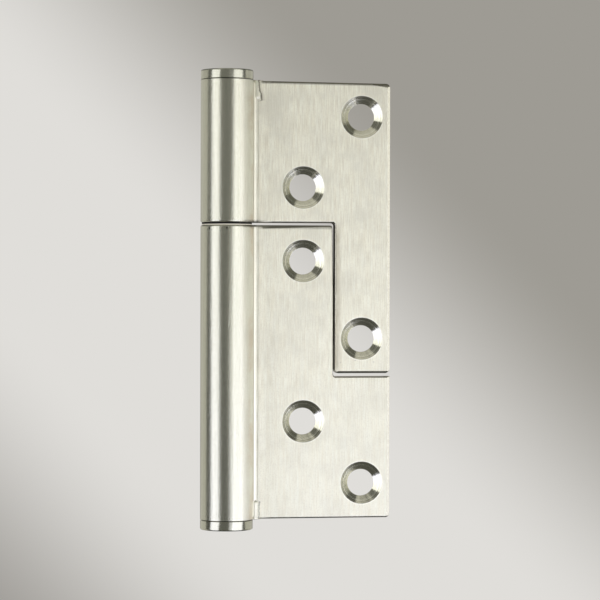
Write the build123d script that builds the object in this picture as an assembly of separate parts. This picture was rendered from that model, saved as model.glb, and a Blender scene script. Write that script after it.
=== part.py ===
# Lift-off hinge, 100 x 75 x 3 mm when it is opened flat.
#
# Frame: +Z runs up the pin axis, +X from the pin axis to the free edges of the leaves, and -Y to the viewer.
# The origin is the centre of the lower end cap's outer face. All lengths are in millimetres.
#
# Two L-shaped leaves nest in one plane. Each is a single sheet: a flat plate in the plane of the pin, with its
# end rolled into a knuckle. The sheet leaves the plate at the back, runs round the pin and comes back to the
# front face of the plate, where its end shows as a hairline seam. A tack weld closes the seam at the outer end.
# The frame leaf carries the pin. The door leaf drops over it, on a plain bush and a thrust washer.

from build123d import *
import math
import os

# Driving dimensions
SHEET_T = 3.0           # thickness of both leaves
KNUCKLE_R = 6.0         # outside radius of the rolled knuckles
KNUCKLES_H = 100.0      # both knuckles and the gap between them
KNUCKLE_GAP = 0.55      # between the two knuckles
GAP_ABOVE_MID = 17.25   # middle of the knuckle gap, above the middle of the barrel
FREE_EDGE_X = 37.5      # pin axis to the free edges: 75 mm when opened flat
PLATE_INSET = 0.2       # plates stop this far short of the knuckles' outer ends
TOP_DROP = 0.3          # the door leaf's top edge falls by this much towards the free edge
SPLIT_X = 24.4          # middle of the upright gap between the leaves
SPLIT_GAP = 0.57        # width of that gap at the knuckles' level
SPLIT_TAPER = 0.23      # how much narrower it is from KNEE_ABOVE_MID down
KNEE_ABOVE_MID = 2.5
LOWER_GAP_MID = 17.13   # middle of the gap under the tongue, below the middle of the barrel
LOWER_GAP = 0.72        # width of the gap under the tongue

CAP_H = 2.2             # head of an end cap
CAP_EDGE = 0.35         # rounding of the cap's outer edge
CAP_SEAM = 0.12         # small chamfers that make the seam between cap and knuckle
PLUG_H = 5.0            # plug of an end cap, pressed into the knuckle
BUSH_WALL = 0.45        # wall of the bush, between the upper knuckle and the pin's neck
RUNNING = 0.05          # radial running clearance on the pin's neck
PIN_PLAY = 0.6          # between the pin's nose and the upper cap's plug
WASHER_RIM = 0.3        # the washer stays this far inside the knuckles' outside
BUSH_INSET = 0.4        # the bush starts this far inside the upper knuckle

# Screw holes for 5 mm countersunk screws, sunk from both faces so that the hinge serves either hand
HOLE_R = 3.05
SINK_R = 4.8
SINK_LAND = 0.3         # plain wall left between the two countersinks
NEAR_X = 17.4           # the column of holes near the barrel
FAR_X = 30.9            # the column near the free edge
# (x, height from the middle of the barrel as a share of half its height)
DOOR_HOLES = [(FAR_X, 0.836), (NEAR_X, 0.512), (FAR_X, -0.177)]
FRAME_HOLES = [(NEAR_X, 0.177), (NEAR_X, -0.554), (FAR_X, -0.836)]

# Edges and corners
FACE_EDGE = 0.42        # rounding of the plates' front and back edges, and of the knuckles' inner ends
CORNER_R = 1.0          # free corners, seen from the front; the frame leaf's corner under the tongue is sharp
TONGUE_R = (0.85, 1.15)  # lower corners of the tongue, inner and outer
NOTCH_R = 0.6           # corners where the leaves nest

# Shallow flats along some front edges, where shearing drew the sheet down or a corner was ground
DRAW_SLOPE = 18.0       # degrees to the face
DRAW_FREE = 0.7         # width along the free edges
DRAW_TONGUE = 0.9       # width along the tongue's inner edge at its foot, running out towards the knuckles
TONGUE_SLOPE = 10.0     # degrees to the face
DRAW_FOOT = 0.5         # width along the tongue's foot
FOOT_SLOPE = 30.0       # degrees to the face
DRAW_TOP = (0.8, 0.25)  # width along the frame leaf's narrow top, at the root and at the split
GRIND_X = 30.5          # the door leaf's free corner is ground from here
GRIND_W = 1.2           # width of that flat at the corner
GRIND_SLOPE = 25.0      # degrees to the face

# Root of the knuckle, where the sheet meets its own plate
ROOT_R = 0.95           # hollow between knuckle and plate
SEAM_X = 6.97           # where the seam comes out on the front face
SEAM_W = 0.07
WELD_L = 4.4            # tack weld at the outer end
WELD_BEAD_R = 1.3       # the bead is part of a round of this size
WELD_PROUD = 0.2        # how far it stands above the plate
DOOR_WELD_X = 7.55      # toe of the weld on the plate
FRAME_WELD_X = 7.1

# Derived heights
HALF_T = SHEET_T / 2
BORE_R = KNUCKLE_R - SHEET_T
PIN_NECK_R = BORE_R - BUSH_WALL - RUNNING           # the pin's upper length, inside bush and washer
WASHER_R = KNUCKLE_R - WASHER_RIM
MID_Z = CAP_H + KNUCKLES_H / 2
TOP_Z = CAP_H + KNUCKLES_H                          # top of the upper knuckle
GAP_LOW = MID_Z + GAP_ABOVE_MID - KNUCKLE_GAP / 2   # top of the frame leaf's knuckle and narrow plate
GAP_HIGH = GAP_LOW + KNUCKLE_GAP                    # foot of the door leaf's knuckle and plate
SHOULDER_Z = MID_Z - LOWER_GAP_MID - LOWER_GAP / 2  # shoulder of the frame leaf under the tongue
TONGUE_Z = SHOULDER_Z + LOWER_GAP                   # foot of the tongue
PLUG_TOP = CAP_H + PLUG_H
PIN_TOP = TOP_Z - PLUG_H - PIN_PLAY


def cylinder(r, z0, z1):
    """Round bar on the pin axis."""
    return Pos(0, 0, z0) * extrude(Circle(r), z1 - z0)


def hollow(side):
    """Root hollow on the front (-1) or back (+1): its centre, and the point where it touches the knuckle."""
    y = side * (HALF_T + ROOT_R)
    x = math.sqrt((KNUCKLE_R + ROOT_R) ** 2 - y**2)
    k = KNUCKLE_R / (KNUCKLE_R + ROOT_R)
    return (x, y), (x * k, y * k)


def root_face(side):
    """Cross-section of the metal between knuckle and plate, with the hollow cut out of it."""
    (cx, cy), touch = hollow(side)
    foot = (cx, side * HALF_T)
    turn = (math.atan2(touch[1] - cy, touch[0] - cx) + math.atan2(foot[1] - cy, foot[0] - cx)) / 2
    if touch[0] < cx and abs(turn) < math.pi / 2:
        turn += math.pi
    middle = (cx + ROOT_R * math.cos(turn), cy + ROOT_R * math.sin(turn))
    return make_face([
        ThreePointArc(touch, middle, foot), Line(foot, (cx, 0)), Line((cx, 0), (BORE_R + 1, 0)),
        Line((BORE_R + 1, 0), touch)])


def seam_face():
    """Cross-section of the hairline between the sheet's end and the plate, from the bore to the front face."""
    x_in, y_in = BORE_R * 0.85, -0.75
    x_out, y_out = SEAM_X, -HALF_T + 0.1
    half = SEAM_W / 2
    return make_face(Polyline(
        (x_in, y_in - half), (x_out - half, y_out - half), (x_out - half, -HALF_T - 1),
        (x_out + half, -HALF_T - 1), (x_out + half, y_out + half), (x_in, y_in + half), close=True))


def outline(corners):
    """Flat of a leaf, from its (x, z, radius) corners."""
    face = make_face(Polyline(*[(x, z) for x, z, _ in corners], close=True))
    for x, z, r in corners:
        if r:
            face = fillet([v for v in face.vertices() if abs(v.X - x) + abs(v.Y - z) < 1e-5], r)
    return face


def tack_weld(toe_x, end_z, way):
    """Weld bead over the outer end of the root, from end_z inwards, upwards if way is +1. Its inner end is round."""
    reach = math.sqrt(WELD_BEAD_R**2 - (WELD_BEAD_R - WELD_PROUD) ** 2)
    x, y = toe_x - reach, -HALF_T + WELD_BEAD_R - WELD_PROUD
    start, stop = sorted((end_z + way * 0.1, end_z + way * (WELD_L - reach)))
    rod = Pos(x, y, start) * extrude(Circle(WELD_BEAD_R), stop - start)
    nose = Pos(x, y, end_z + way * (WELD_L - reach)) * Sphere(WELD_BEAD_R)
    keep = Pos(x, y, end_z + way * (0.1 + WELD_L)) * Box(3 * WELD_BEAD_R, 3 * WELD_BEAD_R, 2 * WELD_L)
    return (rod + nose) & keep


def drawn_edge(start, stop, widths, outward, slope):
    """Cutter for a shallow flat along a front edge that runs from start to stop, both (x, z). The flat is widths[0]
    wide at start and widths[1] at stop, falls towards the edge, and outward is +1 if that is to the right of the
    way from start to stop, seen from the front."""
    (x0, z0), (x1, z1) = start, stop
    run = math.hypot(x1 - x0, z1 - z0)
    dx, dz = (x1 - x0) / run, (z1 - z0) / run
    out = Vector(outward * dz, 0, -outward * dx)
    a = Vector(x0, -HALF_T, z0) - out * widths[0]
    b = Vector(x1, -HALF_T, z1) - out * widths[1]
    along = (b - a).normalized()
    across = out - along * out.dot(along)
    lean = math.radians(slope)
    normal = Vector(0, -math.cos(lean), 0) + across.normalized() * math.sin(lean)
    face = Plane(origin=a, x_dir=along, z_dir=normal)
    return face * Box(run, 4 * max(widths), 1, align=(Align.MIN, Align.CENTER, Align.MIN))


def leaf(corners, z0, z1, outer_z, way):
    """A leaf with its knuckle from z0 to z1. outer_z is the capped end; way points from there to the other."""
    root_z = outer_z + way * (PLATE_INSET + FACE_EDGE + 0.1)
    shape = cylinder(KNUCKLE_R, z0, z1) + extrude(Plane.XZ * outline(corners), HALF_T, both=True)
    inner_z = z0 + z1 - outer_z
    for side in (-1, 1):
        shape += Pos(0, 0, min(root_z, inner_z)) * extrude(root_face(side), abs(inner_z - root_z))
    # one rounding runs along both faces of the plate and over the inner end of the knuckle
    broken = []
    for e in shape.edges():
        box = e.bounding_box()
        on_face = box.size.Y < 1e-4 and abs(abs(box.center().Y) - HALF_T) < 1e-4
        upright_root = on_face and box.size.X < 1e-4 and box.center().X < NEAR_X / 2
        on_end = box.size.Z < 1e-4 and abs(box.center().Z - inner_z) < 1e-4
        across = on_end and abs(box.center().Y) < 1e-4 and box.size.X < 1e-4
        if (on_face and not upright_root and not root_level(box, root_z)) or (on_end and not across):
            broken.append(e)
    shape = fillet(broken, FACE_EDGE)
    rim = [e for e in shape.edges() if e.bounding_box().size.Z < 1e-4 and abs(e.center().Z - outer_z) < 1e-4]
    return chamfer(rim, CAP_SEAM)


def root_level(box, z):
    """True for an edge where a root hollow stops on the plate."""
    return box.size.Z < 1e-4 and abs(box.center().Z - z) < 1e-4


def screw_hole(x, share):
    """Cutter for one hole, sunk from both faces."""
    depth = (SHEET_T - SINK_LAND) / 2
    over = 0.4
    sink = Cone(HOLE_R, SINK_R + (SINK_R - HOLE_R) / depth * over, depth + over,
                align=(Align.CENTER, Align.CENTER, Align.MIN))
    cut = Cylinder(HOLE_R, SHEET_T)
    for turn in (0, 180):
        cut += Rot(turn, 0, 0) * (Pos(0, 0, SINK_LAND / 2) * sink)
    return Pos(x, 0, MID_Z + share * KNUCKLES_H / 2) * (Rot(90, 0, 0) * cut)


def finish_leaf(shape, outer_z, inner_z, way, toe_x, holes):
    """Bore, seam, tack weld and screw holes."""
    shape -= cylinder(BORE_R, min(outer_z, inner_z) - 1, max(outer_z, inner_z) + 1)
    seam_z = outer_z + way * (WELD_L - 0.3)
    z0, z1 = sorted((seam_z, inner_z + way))
    shape -= Pos(0, 0, z0) * extrude(seam_face(), z1 - z0)
    shape += tack_weld(toe_x, outer_z, way)
    for x, share in holes:
        shape -= screw_hole(x, share)
    return shape


PLATE_X = BORE_R + 1.5        # the plates start inside the metal of the knuckles
NARROW_X = SPLIT_X - SPLIT_GAP / 2                  # free edge of the narrow plate at its top
TONGUE_X = SPLIT_X + SPLIT_GAP / 2
PLATE_FOOT = CAP_H + PLATE_INSET
PLATE_TOP = TOP_Z - PLATE_INSET

frame_leaf = leaf(
    [(PLATE_X, PLATE_FOOT, 0), (FREE_EDGE_X, PLATE_FOOT, CORNER_R), (FREE_EDGE_X, SHOULDER_Z, 0),
     (NARROW_X + SPLIT_TAPER, SHOULDER_Z, NOTCH_R), (NARROW_X + SPLIT_TAPER, MID_Z + KNEE_ABOVE_MID, 0),
     (NARROW_X, GAP_LOW, NOTCH_R), (PLATE_X, GAP_LOW, 0)],
    CAP_H, GAP_LOW, CAP_H, 1)
frame_leaf -= drawn_edge((FREE_EDGE_X, PLATE_FOOT - 1), (FREE_EDGE_X, SHOULDER_Z + 1), (DRAW_FREE, DRAW_FREE), 1,
                         DRAW_SLOPE)
frame_leaf -= drawn_edge((SEAM_X + 1, GAP_LOW), (NARROW_X + 1, GAP_LOW), DRAW_TOP, -1, DRAW_SLOPE)
frame_leaf = finish_leaf(frame_leaf, CAP_H, GAP_LOW, 1, FRAME_WELD_X, FRAME_HOLES)

door_leaf = leaf(
    [(PLATE_X, GAP_HIGH, 0), (TONGUE_X, GAP_HIGH, NOTCH_R), (TONGUE_X, TONGUE_Z, TONGUE_R[0]),
     (FREE_EDGE_X, TONGUE_Z, TONGUE_R[1]), (FREE_EDGE_X, PLATE_TOP - TOP_DROP, CORNER_R), (PLATE_X, PLATE_TOP, 0)],
    GAP_HIGH, TOP_Z, TOP_Z, -1)
door_leaf -= drawn_edge((FREE_EDGE_X, TONGUE_Z - 1), (FREE_EDGE_X, PLATE_TOP + 1), (DRAW_FREE, DRAW_FREE), 1,
                        DRAW_SLOPE)
door_leaf -= drawn_edge((TONGUE_X, TONGUE_Z - 1), (TONGUE_X, GAP_HIGH - 1), (DRAW_TONGUE, 0), -1, TONGUE_SLOPE)
door_leaf -= drawn_edge((TONGUE_X - 1, TONGUE_Z), (FREE_EDGE_X + 1, TONGUE_Z), (DRAW_FOOT, DRAW_FOOT), 1,
                        FOOT_SLOPE)
door_leaf -= drawn_edge((GRIND_X, PLATE_TOP - TOP_DROP / 2), (FREE_EDGE_X + 1, PLATE_TOP - TOP_DROP),
                        (0, GRIND_W), -1, GRIND_SLOPE)
door_leaf = finish_leaf(door_leaf, TOP_Z, GAP_HIGH, -1, DOOR_WELD_X, DOOR_HOLES)

# Pin: thick where it is pressed into the lower knuckle, thinner inside the bush, with a rounded nose
hinge_pin = cylinder(BORE_R, PLUG_TOP, GAP_LOW) + cylinder(PIN_NECK_R, GAP_LOW, PIN_TOP)
nose = [e for e in hinge_pin.edges() if abs(e.center().Z - PIN_TOP) < 1e-6]
hinge_pin = fillet(nose, 1.0)

# Plain bush, pressed into the upper knuckle
bush_foot = GAP_HIGH + BUSH_INSET
bush_top = TOP_Z - PLUG_H
bearing_bush = cylinder(BORE_R, bush_foot, bush_top) - cylinder(PIN_NECK_R + RUNNING, bush_foot, bush_top)

# Thrust washer between the knuckles
thrust_washer = cylinder(WASHER_R, GAP_LOW, GAP_HIGH) - cylinder(PIN_NECK_R + RUNNING, GAP_LOW, GAP_HIGH)


def end_cap():
    """Turned cap, head down, with its plug pointing up."""
    head = cylinder(KNUCKLE_R, 0, CAP_H)
    outer = [e for e in head.edges() if abs(e.center().Z) < 1e-6]
    head = fillet(outer, CAP_EDGE)
    inner = [e for e in head.edges() if abs(e.center().Z - CAP_H) < 1e-6]
    head = chamfer(inner, CAP_SEAM)
    plug = cylinder(BORE_R, CAP_H, PLUG_TOP)
    lead = [e for e in plug.edges() if abs(e.center().Z - PLUG_TOP) < 1e-6]
    return head + chamfer(lead, 0.3)


lower_end_cap = end_cap()
upper_end_cap = Pos(0, 0, TOP_Z + CAP_H) * (Rot(180, 0, 0) * end_cap())

os.makedirs("parts", exist_ok=True)
parts = {
    "frame_leaf": frame_leaf,
    "door_leaf": door_leaf,
    "hinge_pin": hinge_pin,
    "bearing_bush": bearing_bush,
    "thrust_washer": thrust_washer,
    "lower_end_cap": lower_end_cap,
    "upper_end_cap": upper_end_cap,
}
for name, shape in parts.items():
    shape.label = name
    export_step(shape, f"parts/{name}.step")
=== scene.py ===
import math
from types import SimpleNamespace

import bpy
import numpy as np
from mathutils import Matrix, Quaternion, Vector

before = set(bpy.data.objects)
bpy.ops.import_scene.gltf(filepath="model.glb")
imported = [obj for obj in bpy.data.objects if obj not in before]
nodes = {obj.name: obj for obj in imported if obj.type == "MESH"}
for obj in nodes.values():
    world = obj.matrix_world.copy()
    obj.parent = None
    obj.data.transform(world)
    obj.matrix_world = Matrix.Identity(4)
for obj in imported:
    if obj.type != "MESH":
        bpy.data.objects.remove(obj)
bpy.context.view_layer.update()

MM = 0.001

# Places on the hinge
MID_Z = 52.2                    # middle of the barrel
BARREL_R = 6.0
CAP_SEAMS_Z = (102.2, 2.2)      # fine seams between knuckles and end caps
KNUCKLE_GAP_Z = 69.45           # middle of the gap between the knuckles
WASHER_HIGHLIGHT_Z = 69.37           # below this the washer's rim has a pale painted highlight
NEST_Z = 69.18                  # upper edge of the frame leaf's narrow plate
FOOT_GAP_Z = 35.1               # middle of the gap under the door leaf's tongue
SPLIT_X = 24.4                  # middle of the upright gap between the leaves
TOP_Z = 102.04                  # the door leaf's upper edge, carried on to the pin's axis
TOP_FALL = 0.0091               # its fall towards the free edge, for each millimetre
WELD_TOE_X = 6.65               # the toe lines of the tack welds wave outwards from here
SINK_R = 4.8                    # countersinks at the face of the leaves
HOLES = [(30.9, 94.0), (17.4, 77.8), (30.9, 43.35), (17.4, 61.05), (17.4, 24.5), (30.9, 10.4)]
# Small dark pits: place, radius and strength
PITS = [(-4.43, -4.05, 68.35, 0.36, 1.4), (-0.73, -5.96, 68.4, 0.32, 1.2), (26.0, -1.5, 37.9, 0.3, 0.2),
        (29.4, -1.5, 38.4, 0.3, 0.2), (31.3, -1.5, 37.1, 0.3, 0.16), (33.7, -1.5, 38.0, 0.35, 0.14)]


def linear(colour):
    """sRGB hex to linear red, green, blue and alpha."""
    parts = [int(colour[i:i + 2], 16) / 255 for i in (1, 3, 5)]
    return [p / 12.92 if p <= 0.04045 else ((p + 0.055) / 1.055) ** 2.4 for p in parts] + [1.0]


# Colours of the finishes, and of the light and shade painted on them
# The plates' colours are painted far paler than the barrel's, though both are one sheet: painted light.
PAINTED_PALE_PLATE_STEEL = linear("#FCFAE4"), linear("#FFFFEC")      # from streak to streak
PLATE_STREAKS = linear("#E8E3CC")
PLATE_CLOUDS = linear("#E9E7D4")
PLATE_GRIT = linear("#DFDAC3")
BARREL_STEEL = linear("#BDBDAB"), linear("#C4C4B2")
BARREL_STREAKS = linear("#BAB9A6")
BARREL_GRIT = linear("#B3B09D")
WARM_TINT = linear("#C9B597")       # faint heat colour on the barrel beside the root
# painted shade in the hollow at the root beside the barrel
ROOT_HOLLOW_SHADE = linear("#C8C4AF")
SINK_RINGS = linear("#B8B7A1"), linear("#F2F1DD")
# edges of the sheet, painted darker for the dark reflections along them
EDGE_STEEL_PAINTED_DARK = linear("#A9A592"), linear("#C6C5B3")
# sheared walls: duller steel, and painted darker still as shade in the gaps
SHEARED_STEEL_AND_SHADE = linear("#98968A")
# paler edges along the gap under the tongue
FOOT_GAP_PALE_EDGE = linear("#E4E2D6")
# painted shade on the walls of the upright gap
GAP_WALL_SHADE = linear("#67645A")
# brownish band beside the upright gap: painted shade, mottled like a stain
STAIN_AND_SHADE_BY_GAP = linear("#C4BB9F")
WELD_HAZE = linear("#B9B39B")
# painted shade along the toe line of the tack welds
WELD_TOE_SHADE = linear("#6F6B59")
EDGE_SHADE = linear("#6E6B5B")
SEAM_DIRT = linear("#33312A")
# round the knuckle gap's inner end: painted shade, mottled like dirt
GRIME_AND_SHADE = linear("#5A5747")
PIT_DIRT = linear("#4A473C")
CAP_STEEL = linear("#BABAA7"), linear("#C2C2B0")
PIN_STEEL = linear("#B4B4A9"), linear("#BBBBB0")
NATURAL_NYLON = linear("#DDD8C6"), linear("#E9E5D6")
BLACK_NYLON = linear("#050403"), linear("#0A0906")
# pale painted highlight on the washer's lower rim
WASHER_RIM_HIGHLIGHT = linear("#C9C5B4")


# Settings that many nodes share. A Map Range takes what it maps, its low and high, and what these two
# become, which is 0 and 1 where nothing is said. SMOOTH eases it in and out. A Mix without COLOURS blends
# numbers. A Noise Texture takes the place, the scale, the detail and the roughness.
SMOOTH = {"interpolation_type": "SMOOTHSTEP"}
COLOURS = {"data_type": "RGBA"}
TO_WORLD = {"vector_type": "VECTOR", "convert_from": "OBJECT", "convert_to": "WORLD"}


def add(tree, kind, *values, named=None, **settings):
    """Adds a node with its settings. The values fill its open inputs in their order, and named fills inputs
    by their names. Each is a plain value, a socket, or a node, which stands for its first open output."""
    made = tree.nodes.new("ShaderNode" + kind)
    for setting, choice in settings.items():
        setattr(made, setting, choice)
    filled = list(zip([socket for socket in made.inputs if socket.enabled], values))
    filled += [(made.inputs[name], value) for name, value in (named or {}).items()]
    for socket, value in filled:
        if isinstance(value, bpy.types.Node):
            value = next(output for output in value.outputs if output.enabled)
        if isinstance(value, bpy.types.NodeSocket):
            tree.links.new(value, socket)
        else:
            socket.default_value = value
    return made


def fresh_material(name):
    """An empty node material with its output, as (material, tree, output)."""
    material = bpy.data.materials.new(name)
    material.use_nodes = True
    tree = material.node_tree
    tree.nodes.clear()
    return material, tree, add(tree, "OutputMaterial")


def in_mm(tree):
    """Object coordinates in millimetres, and their x, y and z."""
    where = add(tree, "TexCoord")
    mm = add(tree, "VectorMath", where.outputs["Object"], 1 / MM, operation="SCALE")
    split = add(tree, "SeparateXYZ", mm)
    return mm, split.outputs[0], split.outputs[1], split.outputs[2]


def product(tree, first, *others):
    """All the values multiplied."""
    for other in others:
        first = add(tree, "Math", first, other, operation="MULTIPLY")
    return first


def band(tree, value, middle, inner, outer, top=1.0):
    """top where value is within inner of the middle, down to 0 where it is outer away."""
    away = add(tree, "Math", value, middle, operation="SUBTRACT")
    away = add(tree, "Math", away, operation="ABSOLUTE")
    return add(tree, "MapRange", away, inner, outer, top, 0, **SMOOTH)


def between(tree, value, rise, drop):
    """1 between the two ranges, each a (low, high) in which the mask rises or drops."""
    risen = add(tree, "MapRange", value, *rise, **SMOOTH)
    left = add(tree, "MapRange", value, *drop, 1, 0, **SMOOTH)
    return product(tree, risen, left)


def grain(tree, across, along, width, length, detail):
    """Noise drawn out along the grain: streaks about width wide and length long, from 0 to 1."""
    across = add(tree, "Math", across, width, operation="DIVIDE")
    along = add(tree, "Math", along, length, operation="DIVIDE")
    return add(tree, "TexNoise", add(tree, "CombineXYZ", across, along, 0.0), 1.0, detail, 0.55)


def turned_rings(tree, distance, rings_per_mm):
    """Noise that changes with the distance alone: grooves left by turning."""
    rings = add(tree, "Math", distance, rings_per_mm, operation="MULTIPLY")
    return add(tree, "TexNoise", add(tree, "CombineXYZ", rings, 0.0, 0.0), 1.0, 2.0)


def leaf_fields(tree):
    """Where a point lies on a leaf, and the noises that colour, roughness and relief share."""
    f = SimpleNamespace()
    f.mm, f.x, f.y, f.z = in_mm(tree)
    flat = add(tree, "VectorMath", f.mm, (1, 1, 0), operation="MULTIPLY")
    radius = add(tree, "VectorMath", flat, operation="LENGTH")
    f.on_barrel = add(tree, "MapRange", radius, BARREL_R + 0.02, BARREL_R + 0.12, 1, 0, **SMOOTH)
    # countersinks: inside one, close round one, and the way from the axis inside one
    f.in_sink, f.rim, f.from_axis = 0.0, 0.0, (0, 0, 0)
    for hole_x, hole_z in HOLES:
        offset = add(tree, "VectorMath", f.mm, (hole_x, 0, hole_z), operation="SUBTRACT")
        offset = add(tree, "VectorMath", offset, (1, 0, 1), operation="MULTIPLY")
        away = add(tree, "VectorMath", offset, operation="LENGTH")
        inside = add(tree, "Math", away, SINK_R + 0.02, operation="LESS_THAN")
        part = add(tree, "VectorMath", offset, inside, operation="SCALE")
        f.in_sink = add(tree, "Math", f.in_sink, inside, operation="ADD")
        near = add(tree, "MapRange", away, SINK_R + 0.08, SINK_R + 0.3, 1, 0, **SMOOTH)
        f.rim = add(tree, "Math", f.rim, near, operation="ADD")
        f.from_axis = add(tree, "VectorMath", f.from_axis, part, operation="ADD")
    f.rings = turned_rings(tree, add(tree, "VectorMath", f.from_axis, operation="LENGTH"), 4.5)
    # the grain runs up the barrel and the plates: across it lies the arc on the barrel, x on the plates
    f.arc = product(tree, add(tree, "Math", f.x, product(tree, f.y, -1.0), operation="ARCTAN2"), BARREL_R)
    across = add(tree, "Mix", f.on_barrel, f.x, f.arc)
    f.fine = grain(tree, across, f.z, 0.21, 4.5, 3.0)
    f.broad = grain(tree, across, f.z, 0.6, 14.0, 3.0)
    f.cloud = add(tree, "TexNoise", f.mm, 0.13, 4.0, 0.6)
    f.stained = add(tree, "TexNoise", f.mm, 0.5, 4.0, 0.6)
    f.grit = add(tree, "TexNoise", f.mm, 3.2, 2.0)
    # outer ends of the roots, where the tack welds are, on the front
    in_front = add(tree, "MapRange", f.y, -1.2, -0.9, 1, 0, **SMOOTH)
    f.upper_end = product(tree, add(tree, "MapRange", f.z, 97.2, 97.6, **SMOOTH), in_front)
    f.lower_end = product(tree, add(tree, "MapRange", f.z, 6.3, 6.6, 1, 0, **SMOOTH), in_front)
    # how far the surface faces front or back, and from that the sheet's edges and corners
    f.normal = add(tree, "NewGeometry").outputs["Normal"]
    to_back = add(tree, "VectorTransform", (0, 1, 0), **TO_WORLD)
    facing = add(tree, "VectorMath", f.normal, to_back, operation="DOT_PRODUCT")
    f.facing = add(tree, "Math", facing, operation="ABSOLUTE")
    f.on_edge = product(tree, add(tree, "MapRange", f.facing, 0.955, 0.985, 1, 0, **SMOOTH),
                        add(tree, "MapRange", f.x, 7.6, 10.5, **SMOOTH),
                        add(tree, "Math", 1.0, f.on_barrel, operation="SUBTRACT"),
                        add(tree, "Math", 1.0, f.in_sink, operation="SUBTRACT"))
    f.sheared = add(tree, "MapRange", f.facing, 0.15, 0.45, 1, 0, **SMOOTH)
    # walls of the upright gap in its wider part, up to the nest's corner, which are painted in shade
    f.in_gap = product(tree, band(tree, f.x, SPLIT_X, 0.4, 0.5),
                       add(tree, "MapRange", f.facing, 0.05, 0.3, 1, 0, **SMOOTH),
                       between(tree, f.z, (41, 46), (69.8, 70.4)))
    # just below the upper edge of the narrow plate
    below_nest = add(tree, "Math", NEST_Z, f.z, operation="SUBTRACT")
    f.nested = product(tree, add(tree, "MapRange", below_nest, 0.45, 1.1, 0.5, 0, **SMOOTH),
                       add(tree, "MapRange", f.x, 6.9, 7.6, **SMOOTH),
                       add(tree, "Math", f.x, SPLIT_X, operation="LESS_THAN"),
                       add(tree, "Math", f.z, NEST_Z + 0.12, operation="LESS_THAN"))
    return f


def plate_colour(tree, f):
    """Brushed sheet with grit, with streaks and clouds that fade down the hinge, a painted shade that darkens
    the plates towards the top, and with a brownish painted shade, mottled like a stain, beside the upright
    gap."""
    # painted shade: the streaks and clouds grow stronger towards the top, which darkens the plates there
    painted_shade_upwards = add(tree, "MapRange", f.z, 10, 95, 0.45, 1.0)
    plate = add(tree, "Mix", add(tree, "MapRange", f.broad, 0.3, 0.7, **SMOOTH), *PAINTED_PALE_PLATE_STEEL, **COLOURS)
    streaks = product(tree, add(tree, "MapRange", f.fine, 0.35, 0.7, 0.0, 0.75, **SMOOTH), painted_shade_upwards)
    plate = add(tree, "Mix", streaks, plate, PLATE_STREAKS, **COLOURS)
    clouds = product(tree, add(tree, "MapRange", f.cloud, 0.4, 0.7, 0.0, 0.75, **SMOOTH), painted_shade_upwards)
    plate = add(tree, "Mix", clouds, plate, PLATE_CLOUDS, **COLOURS)
    grit = add(tree, "MapRange", f.grit, 0.45, 0.7, 0.0, 0.22, **SMOOTH)
    plate = add(tree, "Mix", grit, plate, PLATE_GRIT, **COLOURS)
    # painted shade beside the upright gap, mottled like a stain
    beside = between(tree, f.x, (SPLIT_X - 0.1, SPLIT_X + 0.3), (SPLIT_X + 0.6, SPLIT_X + 2.2))
    beside = product(tree, beside, between(tree, f.z, (34.5, 37.5), (66, 72)),
                     add(tree, "MapRange", f.stained, 0.35, 0.65, 0.45, 0.65, **SMOOTH))
    return add(tree, "Mix", beside, plate, STAIN_AND_SHADE_BY_GAP, **COLOURS)


def welded(tree, f, plate):
    """The plate with a painted shade along the wavy toe line of the tack welds, and a haze beside the upper
    one.
    """
    lean = product(tree, f.upper_end, add(tree, "MapRange", f.z, 97.0, 101.8, 0.95, 0.0))
    toe_x = add(tree, "Math", f.stained, 0.7, WELD_TOE_X, operation="MULTIPLY_ADD")
    toe_x = add(tree, "Math", toe_x, lean, operation="ADD")
    toe_x = add(tree, "Math", f.lower_end, 0.28, toe_x, operation="MULTIPLY_ADD")
    from_toe = add(tree, "Math", f.x, toe_x, operation="SUBTRACT")
    haze = product(tree, between(tree, from_toe, (-0.3, 0.0), (0.1, 0.9)), f.upper_end, 0.45)
    plate = add(tree, "Mix", haze, plate, WELD_HAZE, **COLOURS)
    ends = add(tree, "Math", f.lower_end, 0.5, product(tree, f.upper_end, 0.8), operation="MULTIPLY_ADD")
    reach = add(tree, "MapRange", f.grit, 0.3, 0.7, 0.13, 0.34, **SMOOTH)
    # painted shade along the toe
    toe = product(tree, band(tree, from_toe, 0.0, 0.03, reach), ends)
    return add(tree, "Mix", toe, plate, WELD_TOE_SHADE, **COLOURS)


def barrel_colour(tree, f, plate):
    """Smoother steel of the knuckles. Towards the root a painted highlight blends it towards the plate's pale
    colour, and it turns faintly warm.
    """
    barrel = add(tree, "Mix", add(tree, "MapRange", f.broad, 0.3, 0.7, **SMOOTH), *BARREL_STEEL, **COLOURS)
    streaks = add(tree, "MapRange", f.fine, 0.4, 0.75, 0.0, 0.4, **SMOOTH)
    barrel = add(tree, "Mix", streaks, barrel, BARREL_STREAKS, **COLOURS)
    grit = add(tree, "MapRange", f.grit, 0.45, 0.7, 0.0, 0.35, **SMOOTH)
    barrel = add(tree, "Mix", grit, barrel, BARREL_GRIT, **COLOURS)
    # painted highlight on the barrel's flank towards the root
    highlight_by_root = product(tree, add(tree, "MapRange", f.x, 1.95, 3.0, 0.0, 0.62, **SMOOTH),
                      add(tree, "MapRange", f.x, 3.2, 4.6, 1.0, 0.72, **SMOOTH))
    barrel = add(tree, "Mix", highlight_by_root, barrel, plate, **COLOURS)
    warm = product(tree, add(tree, "MapRange", f.x, 3.6, 5.4, 0.0, 0.45, **SMOOTH),
                   add(tree, "MapRange", f.cloud, 0.42, 0.62, **SMOOTH))
    return add(tree, "Mix", warm, barrel, WARM_TINT, **COLOURS)


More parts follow.
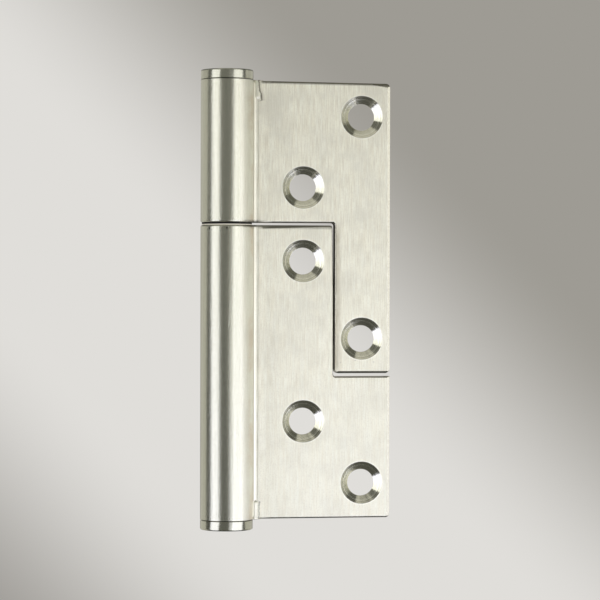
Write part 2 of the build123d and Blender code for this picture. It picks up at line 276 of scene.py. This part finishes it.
def soiled_and_shaded(tree, f, colour):
    """The leaf with its dark cap seams, dirt and painted shade round the knuckle gap's inner end, and the
    pits.
    """
    for seam_z in CAP_SEAMS_Z:
        colour = add(tree, "Mix", band(tree, f.z, seam_z, 0.08, 0.2, 0.9), colour, SEAM_DIRT, **COLOURS)
    # painted shade round the knuckle gap's inner end, mottled like dirt
    grime_and_shade = product(tree, band(tree, f.z, KNUCKLE_GAP_Z, 0.35, 1.1),
                    between(tree, f.x, (1.5, 5.0), (6.3, 9.5)),
                    add(tree, "MapRange", f.stained, 0.3, 0.6, 0.3, 1.0, **SMOOTH))
    colour = add(tree, "Mix", grime_and_shade, colour, GRIME_AND_SHADE, **COLOURS)
    for pit_x, pit_y, pit_z, radius, strength in PITS:
        away = add(tree, "VectorMath", f.mm, (pit_x, pit_y, pit_z), operation="DISTANCE")
        share = product(tree, add(tree, "MapRange", away, 0.2 * radius, radius, 1, 0, **SMOOTH),
                        add(tree, "MapRange", f.stained, 0.35, 0.6, 0.4 * strength, strength, **SMOOTH))
        colour = add(tree, "Mix", share, colour, PIT_DIRT, **COLOURS)
    return colour


def edged(tree, f, colour):
    """The leaf with its edges and corners: tumbled bright where the brush didn't reach, but painted darker
    for the dark reflections along them; duller where the sheet was sheared, and painted darker still as shade
    in the gaps and inside the upright gap; paler along the gap under the tongue; and a painted shade below
    the two upper edges."""
    # painted reflection: the edges are painted darker than the sheet
    edge = add(tree, "Mix", f.grit, *EDGE_STEEL_PAINTED_DARK, **COLOURS)
    # sheared walls are duller, and painted darker as shade in the gaps
    edge = add(tree, "Mix", f.sheared, edge, SHEARED_STEEL_AND_SHADE, **COLOURS)
    # the edges along the gap under the tongue turn paler
    by_foot = product(tree, band(tree, f.z, FOOT_GAP_Z, 1.0, 1.4),
                      add(tree, "MapRange", f.x, 35.8, 36.6, 1, 0, **SMOOTH), 0.6)
    edge = add(tree, "Mix", by_foot, edge, FOOT_GAP_PALE_EDGE, **COLOURS)
    # painted shade inside the upright gap
    edge = add(tree, "Mix", f.in_gap, edge, GAP_WALL_SHADE, **COLOURS)
    colour = add(tree, "Mix", f.on_edge, colour, edge, **COLOURS)
    level = add(tree, "Math", f.x, TOP_FALL, f.z, operation="MULTIPLY_ADD")
    below_top = add(tree, "Math", TOP_Z, level, operation="SUBTRACT")
    shade = product(tree, add(tree, "MapRange", below_top, 0.3, 0.8, 0.65, 0, **SMOOTH),
                    add(tree, "MapRange", f.x, 7.2, 8.2, **SMOOTH))
    shade = product(tree, add(tree, "Math", shade, f.nested, operation="MAXIMUM"),
                    add(tree, "MapRange", f.facing, 0.3, 0.6, **SMOOTH))
    return add(tree, "Mix", shade, colour, EDGE_SHADE, **COLOURS)


def leaf_colour(tree, f):
    """All colours of a leaf."""
    plate = welded(tree, f, plate_colour(tree, f))
    barrel = barrel_colour(tree, f, plate)
    # the hollow at the root beside the barrel is painted darker: painted shade in the crease
    hollow_shade = product(tree, add(tree, "MapRange", f.x, 6.0, 6.22, 1, 0, **SMOOTH),
                   add(tree, "Math", 1.0, f.lower_end, operation="SUBTRACT"))
    plate = add(tree, "Mix", hollow_shade, plate, ROOT_HOLLOW_SHADE, **COLOURS)
    colour = add(tree, "Mix", f.on_barrel, plate, barrel, **COLOURS)
    turned = add(tree, "Mix", add(tree, "MapRange", f.rings, 0.35, 0.65, **SMOOTH), *SINK_RINGS, **COLOURS)
    colour = add(tree, "Mix", f.in_sink, colour, turned, **COLOURS)
    return edged(tree, f, soiled_and_shaded(tree, f, colour))


def leaf_roughness(tree, f):
    """Rough on the plates, smoother on the barrel, and smoothest in the turned countersinks."""
    plate = add(tree, "MapRange", f.fine, 0.3, 0.7, 0.58, 0.66, **SMOOTH)
    plate = add(tree, "Mix", add(tree, "MapRange", f.x, 6.6, 6.75, 1, 0, **SMOOTH), plate, 0.4)
    # one long light scratch on the front of the lower knuckle, which leans by 0.0866 mm a millimetre
    scratch_arc = add(tree, "Math", f.z, 0.0866, -4.3, operation="MULTIPLY_ADD")
    from_scratch = add(tree, "Math", f.arc, scratch_arc, operation="SUBTRACT")
    scratch = product(tree, band(tree, from_scratch, 0.0, 0.03, 0.12, 0.4),
                      between(tree, f.z, (44.5, 47.5), (54.0, 56.5)))
    barrel = add(tree, "Mix", scratch, add(tree, "MapRange", f.x, 0.5, 5.5, 0.17, 0.52, **SMOOTH), 0.6)
    rough = add(tree, "Mix", f.on_barrel, plate, barrel)
    edge = add(tree, "MapRange", f.sheared, 0.0, 1.0, 0.25, 0.45)
    edge = add(tree, "Mix", f.nested, edge, 0.7)
    edge = add(tree, "Mix", f.in_gap, edge, 0.7)
    rough = add(tree, "Mix", f.on_edge, rough, edge)
    rough = add(tree, "Mix", add(tree, "MapRange", f.rim, 0.0, 1.0, 0.0, 0.6, **SMOOTH), rough, 0.3)
    turned = add(tree, "MapRange", f.rings, 0.35, 0.65, 0.14, 0.26, **SMOOTH)
    return add(tree, "Mix", f.in_sink, rough, turned)


def leaf_sheen_way(tree, f):
    """The sheen is drawn out across the scratches: sideways on leaf and barrel, down the cone in a
    countersink. The slight lean of the upright keeps a direction on the sheet's upper and lower edges too."""
    upright = add(tree, "VectorTransform", (0, 0.02, 1), **TO_WORLD)
    sideways = add(tree, "VectorMath", upright, f.normal, operation="CROSS_PRODUCT")
    round_hole = add(tree, "VectorMath", (0, 1, 0), f.from_axis, operation="CROSS_PRODUCT")
    round_hole = add(tree, "VectorTransform", round_hole, **TO_WORLD)
    down_cone = add(tree, "VectorMath", round_hole, f.normal, operation="CROSS_PRODUCT")
    return add(tree, "Mix", f.in_sink, sideways, down_cone, data_type="VECTOR")


def leaf_relief(tree, f):
    """Bump of the scratches. The barrel is a little sandier than the plates, and the countersinks have their
    turned grooves. Under it the plate runs up to the seam in a very flat curve."""
    swell = add(tree, "MapRange", f.x, 6.5, 9.0, 1, 0, **SMOOTH)
    run_up = add(tree, "Bump", named={"Strength": 1.0, "Distance": 0.5 * MM, "Height": swell})
    sandy = add(tree, "Math", f.on_barrel, 1.4, 0.8, operation="MULTIPLY_ADD")
    skin = add(tree, "Math", f.grit, sandy, f.fine, operation="MULTIPLY_ADD")
    relief = add(tree, "Mix", f.in_sink, skin, product(tree, f.rings, 0.4))
    return add(tree, "Bump", named={"Strength": 0.5, "Distance": 0.025 * MM, "Height": relief,
                                    "Normal": run_up})


def brushed_leaf_steel():
    """Stainless sheet, brushed along the barrel after rolling. The scratches spread light across the grain,
    so the plates are pale and even, and their colours are also painted far paler than the barrel's as painted
    light; the barrel, which is smoother, shows soft upright stripes of the studio. The countersinks are
    turned, so their grooves run round the hole."""
    material, tree, out = fresh_material("brushed_stainless_leaf")
    f = leaf_fields(tree)
    steel = add(tree, "BsdfPrincipled", named={
        "Base Color": leaf_colour(tree, f), "Metallic": 1.0, "Roughness": leaf_roughness(tree, f),
        "Anisotropic": 0.8, "Normal": leaf_relief(tree, f), "Tangent": leaf_sheen_way(tree, f)})
    tree.links.new(steel.outputs[0], out.inputs[0])
    return material


def round_sheen_way(tree, mm):
    """Direction across grooves that run round the pin's axis."""
    flat = add(tree, "VectorMath", mm, (1, 1, 0), operation="MULTIPLY")
    round_axis = add(tree, "VectorMath", (0, 0, 1), flat, operation="CROSS_PRODUCT")
    round_axis = add(tree, "VectorTransform", round_axis, **TO_WORLD)
    normal = add(tree, "NewGeometry").outputs["Normal"]
    return add(tree, "VectorMath", round_axis, normal, operation="CROSS_PRODUCT")


def turned_cap_steel():
    """Stainless bar, turned: fine grooves run round the axis, so the studio's stripes stay crisp sideways."""
    material, tree, out = fresh_material("turned_stainless_cap")
    mm, _, _, z = in_mm(tree)
    flat = add(tree, "VectorMath", mm, (1, 1, 0), operation="MULTIPLY")
    radius = add(tree, "VectorMath", flat, operation="LENGTH")
    rings = turned_rings(tree, add(tree, "Math", radius, z, operation="ADD"), 6.0)
    colour = add(tree, "Mix", add(tree, "MapRange", rings, 0.3, 0.7, **SMOOTH), *CAP_STEEL, **COLOURS)
    bump = add(tree, "Bump", named={"Strength": 0.2, "Distance": 0.004 * MM, "Height": rings})
    steel = add(tree, "BsdfPrincipled", named={
        "Base Color": colour, "Metallic": 1.0,
        "Roughness": add(tree, "MapRange", rings, 0.3, 0.7, 0.21, 0.27, **SMOOTH),
        "Anisotropic": 0.7, "Normal": bump, "Tangent": round_sheen_way(tree, mm)})
    tree.links.new(steel.outputs[0], out.inputs[0])
    return material


def ground_pin_steel():
    """Stainless bar, centreless ground: very fine marks round the axis."""
    material, tree, out = fresh_material("ground_stainless_pin")
    mm, x, y, z = in_mm(tree)
    marks = grain(tree, z, add(tree, "Math", x, y, operation="ARCTAN2"), 0.8, 2.0, 1.0)
    steel = add(tree, "BsdfPrincipled", named={
        "Base Color": add(tree, "Mix", marks, *PIN_STEEL, **COLOURS), "Metallic": 1.0,
        "Roughness": add(tree, "MapRange", marks, 0.3, 0.7, 0.32, 0.34, **SMOOTH),
        "Anisotropic": 0.7, "Tangent": round_sheen_way(tree, mm)})
    tree.links.new(steel.outputs[0], out.inputs[0])
    return material


def moulded_nylon(name, body, scatter, sheen=0.5, highlight_below=None):
    """Moulded nylon: a soft sheen over a body mottled between two colours. Below the given height its rim
    gets a pale painted highlight."""
    material, tree, out = fresh_material(name)
    mm, _, _, z = in_mm(tree)
    mottle = add(tree, "TexNoise", mm, 0.9, 3.0)
    skin = add(tree, "TexNoise", mm, 7.0, 3.0)
    colour = add(tree, "Mix", mottle, *body, **COLOURS)
    if highlight_below:
        # painted highlight: the rim below that height is painted pale
        washer_highlight = add(tree, "MapRange", z, highlight_below - 0.06, highlight_below + 0.06, 1, 0, **SMOOTH)
        colour = add(tree, "Mix", washer_highlight, colour, WASHER_RIM_HIGHLIGHT, **COLOURS)
    bump = add(tree, "Bump", named={"Strength": 0.15, "Distance": 0.01 * MM, "Height": skin})
    nylon = add(tree, "BsdfPrincipled", named={
        "Base Color": colour, "Roughness": add(tree, "MapRange", mottle, 0.3, 0.7, 0.55, 0.68, **SMOOTH),
        "Subsurface Weight": scatter, "Subsurface Scale": 0.3 * MM, "IOR": 1.53,
        "Specular IOR Level": sheen, "Normal": bump})
    tree.links.new(nylon.outputs[0], out.inputs[0])
    return material


def dress(node, material):
    """Puts the material on a CAD node and gives it clean shading: faces that meet at more than 28 degrees are
    split, and each corner's normal is weighted by the area of its faces."""
    piece = nodes[node]
    piece.data.materials.clear()
    piece.data.materials.append(material)
    split = piece.modifiers.new("split_at_edges", "EDGE_SPLIT")
    split.split_angle = math.radians(28)
    split.use_edge_sharp = False
    weigh = piece.modifiers.new("even_shading", "WEIGHTED_NORMAL")
    weigh.mode = "FACE_AREA"
    weigh.weight = 100


leaf_steel = brushed_leaf_steel()
cap_steel = turned_cap_steel()
dress("frame_leaf", leaf_steel)
dress("door_leaf", leaf_steel)
dress("lower_end_cap", cap_steel)
dress("upper_end_cap", cap_steel)
dress("hinge_pin", ground_pin_steel())
dress("bearing_bush", moulded_nylon("natural_nylon", NATURAL_NYLON, scatter=0.2))
dress("thrust_washer", moulded_nylon("black_nylon", BLACK_NYLON, scatter=0.0, sheen=0.2, highlight_below=WASHER_HIGHLIGHT_Z))


# Camera, at the photograph's view

AZIMUTH = math.radians(-8.73)
ELEVATION = math.radians(0.32)
ROLL = math.radians(0.107)
DISTANCE = 579.7 * MM
TARGET_SIDE = 16.66 * MM            # how far the target lies beside the pin, across the view
TARGET_Z = (MID_Z - 0.03) * MM
FRAME_PX = 600                      # the picture's side
FOCAL_PX = 2549                     # focal length, in pixels of the picture
SENSOR = 36                         # the camera's sensor, in millimetres

back = Vector((math.sin(AZIMUTH) * math.cos(ELEVATION), -math.cos(AZIMUTH) * math.cos(ELEVATION),
               math.sin(ELEVATION)))
right = Vector((math.cos(AZIMUTH), math.sin(AZIMUTH), 0))
up = back.cross(right)
target = right * TARGET_SIDE + Vector((0, 0, TARGET_Z))
right_rolled = right * math.cos(ROLL) + up * math.sin(ROLL)
up_rolled = up * math.cos(ROLL) - right * math.sin(ROLL)
camera = bpy.data.objects.new("camera", bpy.data.cameras.new("camera"))
camera.data.sensor_width = SENSOR
camera.data.lens = FOCAL_PX / FRAME_PX * SENSOR
camera.data.clip_start = 0.01
camera.data.clip_end = 20
place = Matrix((right_rolled, up_rolled, back)).transposed().to_4x4()
place.translation = target + back * DISTANCE
camera.matrix_world = place
bpy.context.scene.collection.objects.link(camera)
bpy.context.scene.camera = camera


# Studio

CENTRE = Vector((16 * MM, 0, MID_Z * MM))
PALE = linear("#E0DEDA")            # the background's pale grey
CARD_GREY = linear("#9E9B94")       # the backdrop at the picture's top right
CARD_DUSK = linear("#9B9893")       # and beyond its bottom left
CARD_AWAY = 1.0                     # the backdrop's distance behind the hinge, in metres
CARD_HALF = 0.8
FLOOR_Z = -0.30
FLOOR_R = 1.4
LAMP_TINT = (0.975, 0.985, 1.32, 1.0), (1.005, 0.995, 1.0, 1.0)     # lower and upper edge of a soft box
CLOTH_TINT = (1.0, 1.0, 0.96, 1.0)


def aim(azimuth, elevation):
    """Unit direction. Azimuth 0 is -Y, towards the viewer, and 90 is +X; both in degrees."""
    a, e = math.radians(azimuth), math.radians(elevation)
    return Vector((math.sin(a) * math.cos(e), -math.cos(a) * math.cos(e), math.sin(e)))


def soft_box(name, azimuths, elevations, distance, radiance, fade, roll):
    """Rectangular lamp that fills the given range of directions as seen from the hinge. fade is how much
    brighter its lower edge is than its middle, and how much dimmer its upper edge; the lower part is also a
    little cooler. roll turns it in its own plane, in degrees, with the top to the right if positive."""
    azimuth, elevation = sum(azimuths) / 2, sum(elevations) / 2
    wide = 2 * distance * math.tan(math.radians(azimuths[1] - azimuths[0]) / 2)
    high = 2 * distance * math.tan(math.radians(elevations[1] - elevations[0]) / 2)
    lamp = bpy.data.lights.new(name, "AREA")
    lamp.shape = "RECTANGLE"
    lamp.size = wide
    lamp.size_y = high
    lamp.energy = radiance * 4 * wide * high
    lamp.use_nodes = True
    tree = lamp.node_tree
    tree.nodes.clear()
    spot = add(tree, "NewGeometry")
    rise = add(tree, "SeparateXYZ", spot.outputs["Parametric"]).outputs[1]
    level = add(tree, "MapRange", rise, 0.0, 1.0, 1 + fade, 1 - fade)
    tint = add(tree, "Mix", rise, *LAMP_TINT, **COLOURS)
    glow = add(tree, "Emission", named={"Color": tint, "Strength": level})
    tree.links.new(glow.outputs[0], add(tree, "OutputLight").inputs[0])
    holder = bpy.data.objects.new(name, lamp)
    way = aim(azimuth, elevation)
    holder.location = CENTRE + way * distance
    holder.rotation_mode = "QUATERNION"
    holder.rotation_quaternion = Quaternion(way, math.radians(-roll)) @ way.to_track_quat("Z", "Y")
    holder.visible_camera = False
    bpy.context.scene.collection.objects.link(holder)


soft_box("soft_box_left", (-79, -42), (-36, 23), distance=0.42, radiance=1.44, fade=0.22, roll=9.0)
soft_box("soft_box_right", (18, 66), (-43, 18), distance=0.42, radiance=1.58, fade=0.20, roll=2.0)
soft_box("soft_box_low", (3, 20), (-22, 1), distance=0.43, radiance=0.85, fade=0.1, roll=-6.0)


def glowing(name, low, high):
    """A plain glow for studio walls, of one grey 0.1 m below the hinge's middle and another 0.1 m above."""
    material, tree, out = fresh_material(name)
    where = add(tree, "TexCoord").outputs["Object"]
    z = add(tree, "SeparateXYZ", where).outputs[2]
    grey = add(tree, "MapRange", z, CENTRE.z - 0.1, CENTRE.z + 0.1, low, high, **SMOOTH)
    glow = add(tree, "Emission", named={"Color": CLOTH_TINT, "Strength": grey})
    tree.links.new(glow.outputs[0], out.inputs[0])
    return material


def staged(name, points, material):
    """Stage mesh from a grid of points, an array of rows by columns by 3."""
    rows, columns, _ = points.shape
    index = np.arange(rows * columns).reshape(rows, columns)
    corners = [index[:-1, :-1], index[:-1, 1:], index[1:, 1:], index[1:, :-1]]
    faces = np.stack(corners, axis=-1).reshape(-1, 4)
    mesh = bpy.data.meshes.new(name)
    mesh.from_pydata(points.reshape(-1, 3).tolist(), [], faces.tolist())
    mesh.materials.append(material)
    piece = bpy.data.objects.new(name, mesh)
    bpy.context.scene.collection.objects.link(piece)
    return piece


def flag(name, azimuths, elevations, distance, low, high, lean=0.0):
    """Grey cloth of the studio: part of a sphere round the hinge, from the grey low to the grey high. Only
    reflections meet it. Its upright borders lean over by lean degrees to either side of their middle."""
    e = np.radians(np.linspace(*elevations, 49))[:, None]
    a = np.radians(np.linspace(*azimuths, 49))[None, :] + np.radians(lean) * np.tanh(e * 6)
    points = np.stack([np.sin(a) * np.cos(e), -np.cos(a) * np.cos(e), np.sin(e) + 0 * a], axis=-1) * distance
    piece = staged(name, points + np.array(CENTRE), glowing(name, low, high))
    piece.visible_camera = False
    piece.visible_diffuse = False
    piece.visible_shadow = False
    piece.visible_transmission = False


flag("studio_wall", (-102, 30), (-62, 52), 0.50, 0.10, 0.17, lean=6.0)
flag("right_wall", (25, 77), (-62, 52), 0.50, 0.10, 0.17)
flag("right_edge", (76, 81.5), (-20, 24), 0.50, 0.10, 0.17)
flag("right_low", (76, 112), (-62, -22), 0.51, 0.36, 0.44)
flag("front_wall", (-46, 24), (-50, 50), 0.49, 0.17, 0.27)
flag("front_top", (-32, 30), (44, 64), 0.48, 0.12, 0.12)
flag("high_flag", (60, 108), (25, 56), 0.48, 0.12, 0.12)
flag("ceiling", (100, 260), (15, 88), 0.52, 0.22, 0.22)
flag("floor_cloth", (-180, 180), (-90, -46), 0.28, 0.09, 0.09)


def pale_floor():
    """Pale matt floor under the hinge, which turns into the colour of the background far out."""
    material, tree, out = fresh_material("matt_floor_paper")
    where = add(tree, "TexCoord").outputs["Object"]
    flat = add(tree, "VectorMath", where, (1, 1, 0), operation="MULTIPLY")
    far = add(tree, "VectorMath", flat, operation="LENGTH")
    tooth = add(tree, "TexNoise", where, 1 / (2.5 * MM), 2.0)
    grey = add(tree, "Mix", tooth, linear("#DCDAD6"), linear("#E4E2DE"), **COLOURS)
    paper = add(tree, "BsdfDiffuse", named={"Color": grey})
    glow = add(tree, "Emission", named={"Color": PALE, "Strength": 1.0})
    outwards = add(tree, "MapRange", far, 0.35, 1.3, **SMOOTH)
    mixed = add(tree, "MixShader", outwards, paper, glow)
    tree.links.new(mixed.outputs[0], out.inputs[0])
    a = np.linspace(0, 2 * np.pi, 97)[None, :]
    r = np.linspace(0.0, FLOOR_R, 8)[:, None]
    staged("floor", np.stack([r * np.cos(a), r * np.sin(a), FLOOR_Z + 0 * r * a], axis=-1), material)


def backdrop():
    """Card behind the hinge with the photograph's diagonal gradient: grey at the top right, pale through the
    middle and a little darker again at the bottom left. Outwards it takes the colour of the background."""
    material, tree, out = fresh_material("graded_backdrop_card")
    where = add(tree, "TexCoord").outputs["Object"]
    px_per_m = FOCAL_PX / (DISTANCE + CARD_AWAY)    # pixels of the picture in a metre on the card
    side = add(tree, "VectorMath", where, tuple(right_rolled), operation="DOT_PRODUCT")
    rise = add(tree, "VectorMath", where, tuple(up_rolled), operation="DOT_PRODUCT")
    middle = target.dot(right_rolled) + target.dot(up_rolled)
    diagonal = add(tree, "Math", side, rise, operation="ADD")
    diagonal = add(tree, "Math", diagonal, middle, operation="SUBTRACT")
    diagonal = product(tree, diagonal, -px_per_m)
    paler = add(tree, "MapRange", diagonal, -285, 70, **SMOOTH)
    shade = add(tree, "Mix", paler, CARD_GREY, PALE, **COLOURS)
    darker = add(tree, "MapRange", diagonal, 310, 670, **SMOOTH)
    shade = add(tree, "Mix", darker, shade, CARD_DUSK, **COLOURS)
    card_middle = target - back * CARD_AWAY
    away = add(tree, "VectorMath", where, tuple(card_middle), operation="DISTANCE")
    outwards = add(tree, "MapRange", away, 0.28, 0.75, **SMOOTH)
    shade = add(tree, "Mix", outwards, shade, PALE, **COLOURS)
    glow = add(tree, "Emission", named={"Color": shade, "Strength": 1.0})
    tree.links.new(glow.outputs[0], out.inputs[0])
    s = np.linspace(-CARD_HALF, CARD_HALF, 9)[None, :, None]
    t = np.linspace(-CARD_HALF, CARD_HALF, 9)[:, None, None]
    staged("backdrop", np.array(card_middle) + s * np.array(right) + t * np.array(up), material)


pale_floor()
backdrop()

world = bpy.data.worlds.new("studio_air")
bpy.context.scene.world = world
world.use_nodes = True
air = world.node_tree.nodes["Background"]
air.inputs["Color"].default_value = PALE
air.inputs["Strength"].default_value = 1.0

bpy.context.scene.view_settings.view_transform = "Standard"
